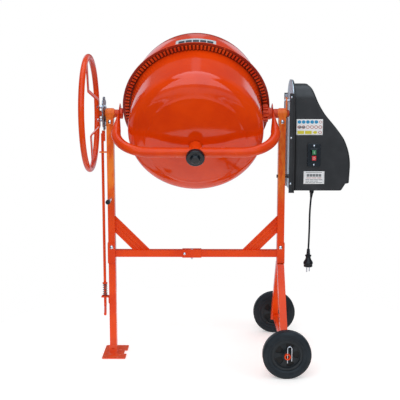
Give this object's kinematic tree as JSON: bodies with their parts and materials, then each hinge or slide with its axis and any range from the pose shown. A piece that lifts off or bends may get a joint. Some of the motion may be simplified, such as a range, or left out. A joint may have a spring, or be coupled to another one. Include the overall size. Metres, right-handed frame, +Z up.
{
  "type": "concrete mixer",
  "caption": "Electric concrete mixer with a tilting steel drum in a yoke, a toothed ring and pinion drive, a handwheel, a foot latch, a motor housing and a two-wheeled tubular stand.",
  "frame": {"origin": "on the ground under the middle of the mixer's outline", "axes": "+Z up, +X from the handwheel side to the motor side, +Y from the bearing side to the drum's mouth"},
  "size_m": [1.1195, 0.7446, 1.4154],
  "materials": {
    "frame_paint": "gloss powder coat",
    "drum_paint": "gloss paint over pressed sheet",
    "gear_paint": "painted cast iron, worn on the teeth",
    "zinc": "bright zinc plate",
    "dark_steel": "oiled dark steel",
    "galvanised": "galvanised sheet",
    "black_plastic": "fine-grained black moulding",
    "cap_plastic": "semi-gloss black moulding",
    "wheel_plastic": "black moulding",
    "tyre_rubber": "solid rubber",
    "cord_rubber": "black cord sheath",
    "belt_rubber": "belt rubber",
    "motor_metal": "cast motor shell",
    "blade_paint": "paint worn by the mix",
    "green_plastic": "green button",
    "red_plastic": "red button",
    "bronze": "sintered bronze bush"
  },
  "bodies": {
    "frame": {"left_post": "frame_paint", "right_post": "frame_paint", "left_bearing_head": "frame_paint", "right_bearing_head": "frame_paint", "left_socket": "frame_paint", "right_socket": "frame_paint", "crossbar_left": "frame_paint", "crossbar_right": "frame_paint", "crossbar_joiner": "frame_paint", "joiner_bolts": "zinc", "frame_bolts": "zinc", "left_leg": "frame_paint", "front_leg": "frame_paint", "rear_leg": "frame_paint", "axle": "frame_paint", "wheel_clips": "zinc", "transport_handle": "zinc", "handle_cap": "cap_plastic", "pedal_guide": "frame_paint", "drive_belt": "belt_rubber", "motor": "motor_metal", "housing_back": "galvanised", "housing_cover": "black_plastic", "cover_screws": "dark_steel", "housing_bolt": "dark_steel", "bracket_bolts": "zinc", "switch_plate": "cap_plastic", "cable_gland": "cap_plastic", "cord": "cord_rubber", "plug_body": "cord_rubber", "plug_pins": "zinc", "pedal_spring": "zinc"},
    "tilting_yoke": {"yoke": "frame_paint", "left_pivot_shaft": "dark_steel", "right_pivot_shaft": "dark_steel", "handwheel_rim": "frame_paint", "handwheel_bar": "frame_paint", "lock_disc": "galvanised", "tilt_bolts": "zinc", "drum_bearing": "bronze", "bearing_cap": "cap_plastic"},
    "drum": {"bowl": "drum_paint", "upper_drum": "drum_paint", "ring_gear_upper": "gear_paint", "ring_gear_lower": "gear_paint", "drum_bolts": "zinc", "blade_a": "blade_paint", "blade_b": "blade_paint", "drum_shaft": "dark_steel"},
    "pinion_shaft": {"pinion": "gear_paint", "drive_shaft": "dark_steel", "drum_pulley": "dark_steel"},
    "motor_shaft": {"motor_pulley": "dark_steel"},
    "front_wheel_set": {"front_wheel": "wheel_plastic", "front_tyre": "tyre_rubber"},
    "rear_wheel_set": {"rear_wheel": "wheel_plastic", "rear_tyre": "tyre_rubber"},
    "start_button": {"green_button": "green_plastic"},
    "stop_button": {"red_button": "red_plastic"},
    "pedal_latch": {"latch_rod": "frame_paint"}
  },
  "joints": [
    {"name": "drum_tilt", "type": "hinge", "parent": "frame", "child": "tilting_yoke", "pos_m": [-0.08925, -0.02727, 1.069], "axis": [1, 0, 0], "range_deg": [-80, 60]},
    {"name": "drum_spin", "type": "hinge", "parent": "tilting_yoke", "child": "drum", "pos_m": [-0.08925, -0.02727, 1.069], "axis": [0, 0.866, 0.5], "continuous": true},
    {"name": "pinion_spin", "type": "hinge", "parent": "tilting_yoke", "child": "pinion_shaft", "pos_m": [-0.08925, -0.02727, 1.069], "axis": [1, 0, 0], "continuous": true},
    {"name": "motor_spin", "type": "hinge", "parent": "frame", "child": "motor_shaft", "pos_m": [-0.08925, -0.02727, 0.868], "axis": [1, 0, 0], "continuous": true},
    {"name": "front_wheel_spin", "type": "hinge", "parent": "frame", "child": "front_wheel_set", "pos_m": [0.28475, -0.33677, 0.1], "axis": [0, 1, 0], "continuous": true},
    {"name": "rear_wheel_spin", "type": "hinge", "parent": "frame", "child": "rear_wheel_set", "pos_m": [0.28475, 0.28223, 0.1], "axis": [0, 1, 0], "continuous": true},
    {"name": "pedal_press", "type": "slide", "parent": "frame", "child": "pedal_latch", "axis": [0, 0, -1], "range_m": [0, 0.025], "stiffness_N_per_m": 900, "springref_m": -0.012, "deforming": ["pedal_spring"]},
    {"name": "start_press", "type": "slide", "parent": "frame", "child": "start_button", "axis": [0, 1, 0], "range_m": [0, 0.004], "stiffness_N_per_m": 600, "springref_m": -0.001},
    {"name": "stop_press", "type": "slide", "parent": "frame", "child": "stop_button", "axis": [0, 1, 0], "range_m": [0, 0.004], "stiffness_N_per_m": 600, "springref_m": -0.001}
  ],
  "couplings": [
    {"joint": "pinion_spin", "follows": "drum_spin", "ratio": -9.2308},
    {"joint": "motor_spin", "follows": "drum_spin", "ratio": -44.103}
  ]
}
